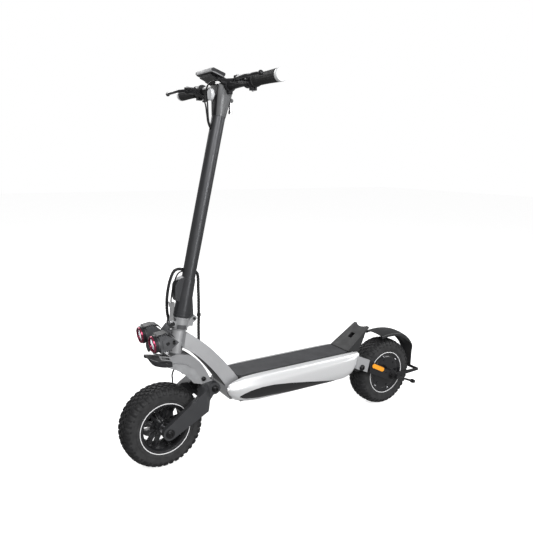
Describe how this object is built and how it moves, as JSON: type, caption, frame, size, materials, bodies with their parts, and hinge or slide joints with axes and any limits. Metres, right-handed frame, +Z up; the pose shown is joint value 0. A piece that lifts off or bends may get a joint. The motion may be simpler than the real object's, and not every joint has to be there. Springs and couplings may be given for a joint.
{
  "type": "electric kick scooter",
  "caption": "Folding electric kick scooter with an arched neck, swingarm suspension at both ends, a rear hub motor, twin lamps and a sloping rear footrest.",
  "frame": {"origin": "floor under the middle of the bounding box, midway between the front of the front tyre and the tail of the rear fender", "axes": "+X forward, +Y to the rider's left, +Z up"},
  "size_m": [1.1917, 0.61, 1.1713],
  "materials": {
    "frame_silver": "satin metallic silver paint",
    "tray_dark": "black anodised",
    "grip_rubber": "matt textured rubber",
    "cover_silver": "bright metallic silver, satin gloss",
    "trim_gloss": "gloss black",
    "battery_wrap": "heat-shrink wrap",
    "controller_case": "extruded",
    "plate_grey": "dark grey satin paint",
    "bearing_steel": "ground steel",
    "bolt_black": "black oxide",
    "black_rubber": "matt",
    "arch_grey": "satin grey paint",
    "bolt_steel": "zinc plated",
    "black_plastic": "fine textured moulding",
    "guard_grey": "satin",
    "polished_steel": "polished",
    "lamp_grey": "satin",
    "lamp_glass": "clear lens",
    "arm_grey": "dark grey satin paint",
    "caliper_grey": "black anodised",
    "rim_black": "black satin paint",
    "tyre_rubber": "matt",
    "disc_steel": "ground",
    "arm_black": "black satin paint",
    "fender_grey": "satin",
    "amber_reflector": "prismatic",
    "motor_black": "gloss black paint",
    "bar_black": "black satin paint",
    "stem_grey": "dark satin metallic",
    "head_silver": "satin metallic grey",
    "screen_glass": "gloss",
    "white_reflector": "prismatic",
    "lever_black": "black anodised",
    "button_red": "satin",
    "cable_black": "spiral wrapped"
  },
  "bodies": {
    "chassis": {"neck_frame": "frame_silver", "deck_tray": "tray_dark", "deck_lid": "tray_dark", "deck_mat": "grip_rubber", "side_cover_left": "cover_silver", "side_cover_right": "cover_silver", "side_trims": "trim_gloss", "battery_pack": "battery_wrap", "motor_controller": "controller_case", "kick_plate": "plate_grey", "rear_pivot_blocks": "frame_silver", "headset_bearings": "bearing_steel", "chassis_bolts": "bolt_black"},
    "charge_cap": {"charge_port_cap": "black_rubber"},
    "steering": {"fork_arch": "arch_grey", "fold_base": "arch_grey", "pivot_pins": "bolt_steel", "lamp_bracket": "black_plastic", "horn": "black_plastic", "front_mudguard": "guard_grey", "front_buffer": "black_rubber", "cable_bundles": "cable_black", "front_brake_hose": "cable_black"},
    "latch": {"fold_latch": "polished_steel"},
    "left_lamp": {"lamp_left": "lamp_grey", "lamp_left_lens": "lamp_glass"},
    "right_lamp": {"lamp_right": "lamp_grey", "lamp_right_lens": "lamp_glass"},
    "front_arm": {"front_swingarm": "arm_grey", "front_axle": "bolt_steel", "front_caliper": "caliper_grey"},
    "front_wheel": {"front_rim": "rim_black", "front_tyre": "tyre_rubber", "front_disc": "disc_steel", "front_bearings": "bearing_steel"},
    "rear_arm": {"rear_swingarm": "arm_black", "motor_axle": "bolt_steel", "rear_caliper": "caliper_grey", "rear_fender": "fender_grey", "side_reflectors": "amber_reflector"},
    "rear_wheel": {"motor_shell": "motor_black", "rear_tyre": "tyre_rubber", "rear_disc": "disc_steel"},
    "kickstand": {"kickstand": "bar_black"},
    "stem": {"stem_foot": "stem_grey", "stem_tube": "stem_grey", "stem_head": "head_silver", "handlebar": "bar_black", "grips": "grip_rubber", "lever_mounts": "black_plastic", "display_case": "black_plastic", "display_screen": "screen_glass", "switch_pod": "black_plastic", "front_reflector": "white_reflector", "brake_cables": "cable_black"},
    "left_lever": {"brake_lever_left": "lever_black"},
    "right_lever": {"brake_lever_right": "lever_black"},
    "throttle": {"thumb_throttle": "black_plastic"},
    "button": {"mode_button": "button_red"},
    "hook": {"stem_hook": "polished_steel"}
  },
  "joints": [
    {"name": "steering_turn", "type": "hinge", "parent": "chassis", "child": "steering", "pos_m": [0.41277, 0, 0.38647], "axis": [-0.2122, 0, 0.9772], "range_deg": [-38, 38]},
    {"name": "charge_cap_swing", "type": "hinge", "parent": "chassis", "child": "charge_cap", "pos_m": [0.3, -0.0412, 0.317], "axis": [-1, 0, 0], "range_deg": [0, 110]},
    {"name": "latch_open", "type": "hinge", "parent": "steering", "child": "latch", "pos_m": [0.43225, 0.008, 0.44288], "axis": [0, 1, 0], "range_deg": [0, 55]},
    {"name": "left_lamp_tilt", "type": "hinge", "parent": "steering", "child": "left_lamp", "pos_m": [0.452, 0.05, 0.408], "axis": [0, 1, 0], "range_deg": [-8, 12]},
    {"name": "right_lamp_tilt", "type": "hinge", "parent": "steering", "child": "right_lamp", "pos_m": [0.452, -0.05, 0.408], "axis": [0, 1, 0], "range_deg": [-8, 12]},
    {"name": "front_suspension", "type": "hinge", "parent": "steering", "child": "front_arm", "pos_m": [0.309, 0, 0.226], "axis": [0, -1, 0], "range_deg": [0, 9], "stiffness_Nm_per_rad": 250, "springref_deg": -11.46, "deforming": ["front_brake_hose"]},
    {"name": "front_wheel_spin", "type": "hinge", "parent": "front_arm", "child": "front_wheel", "pos_m": [0.469, 0, 0.1275], "axis": [0, 1, 0], "continuous": true},
    {"name": "rear_suspension", "type": "hinge", "parent": "chassis", "child": "rear_arm", "pos_m": [-0.271, 0, 0.19], "axis": [0, 1, 0], "range_deg": [0, 9], "stiffness_Nm_per_rad": 250, "springref_deg": -11.46},
    {"name": "rear_wheel_spin", "type": "hinge", "parent": "rear_arm", "child": "rear_wheel", "pos_m": [-0.43, 0, 0.1275], "axis": [0, 1, 0], "continuous": true},
    {"name": "kickstand_swing", "type": "hinge", "parent": "rear_arm", "child": "kickstand", "pos_m": [-0.455, 0.074, 0.118], "axis": [0, -1, 0], "range_deg": [0, 66]},
    {"name": "stem_fold", "type": "hinge", "parent": "steering", "child": "stem", "pos_m": [0.3621, 0, 0.45017], "axis": [0, -1, 0], "range_deg": [0, 90], "deforming": ["cable_bundles"]},
    {"name": "left_brake_pull", "type": "hinge", "parent": "stem", "child": "left_lever", "pos_m": [0.296, 0.158, 1.13], "axis": [0, 0, 1], "range_deg": [0, 13], "stiffness_Nm_per_rad": 1, "springref_deg": -8.59},
    {"name": "right_brake_pull", "type": "hinge", "parent": "stem", "child": "right_lever", "pos_m": [0.296, -0.158, 1.13], "axis": [0, 0, -1], "range_deg": [0, 13], "stiffness_Nm_per_rad": 1, "springref_deg": -8.59},
    {"name": "throttle_push", "type": "hinge", "parent": "stem", "child": "throttle", "pos_m": [0.252, -0.146, 1.13], "axis": [0, -1, 0], "range_deg": [0, 30], "stiffness_Nm_per_rad": 0.1, "springref_deg": -14.32},
    {"name": "mode_press", "type": "slide", "parent": "stem", "child": "button", "axis": [0, 0, -1], "range_m": [0, 0.002], "stiffness_N_per_m": 300, "springref_m": -0.002},
    {"name": "hook_swing", "type": "hinge", "parent": "stem", "child": "hook", "pos_m": [0.23116, 0, 1.09097], "axis": [0, 1, 0], "range_deg": [0, 100]}
  ]
}
